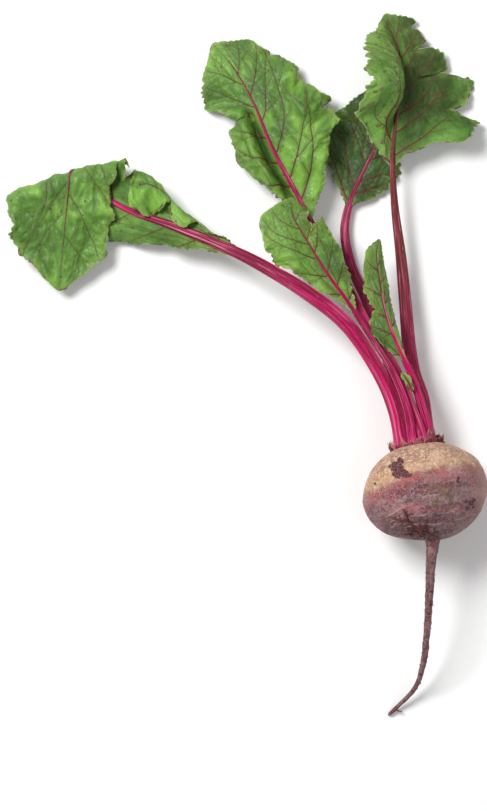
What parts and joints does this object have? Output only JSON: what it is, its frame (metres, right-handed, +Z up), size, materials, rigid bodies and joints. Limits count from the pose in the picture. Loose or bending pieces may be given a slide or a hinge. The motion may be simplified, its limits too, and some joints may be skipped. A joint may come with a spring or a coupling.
{
  "type": "beetroot",
  "caption": "Round beetroot with its long taproot and its own red-stalked green leaves, as picked, lying on its side on a table.",
  "frame": {"origin": "middle of the small flat spot that the round root rests on, on the table's surface", "axes": "+Z up, +Y towards the leaves and -Y towards the taproot's tip, +X to the right seen from above"},
  "size_m": [0.2871, 0.4277, 0.0739],
  "materials": {
    "skin": "dull, finely netted and scratched root skin, tan at the crown and grey-purple below",
    "stalk": "smooth ribbed magenta stalk, softly glossy",
    "leaf": "quilted green leaf with dark red veins, softly glossy above and dull below",
    "stub": "dry, fibrous ends of old stalks"
  },
  "bodies": {
    "root": {"root": "skin", "left_leaf_stalk": "stalk", "left_leaf_blade": "leaf", "front_leaf_stalk": "stalk", "front_leaf_blade": "leaf", "broad_leaf_stalk": "stalk", "broad_leaf_blade": "leaf", "narrow_leaf_stalk": "stalk", "narrow_leaf_blade": "leaf", "right_leaf_stalk": "stalk", "right_leaf_blade": "leaf", "back_leaf_stalk": "stalk", "back_leaf_blade": "leaf", "leaflet": "leaf", "crown_stub_1": "stub", "crown_stub_2": "stub", "crown_stub_3": "stub", "crown_stub_4": "stub", "crown_stub_5": "stub", "crown_stub_6": "stub", "crown_stub_7": "stub", "crown_stub_8": "stub", "crown_stub_9": "stub", "crown_stub_10": "stub"}
  },
  "joints": []
}
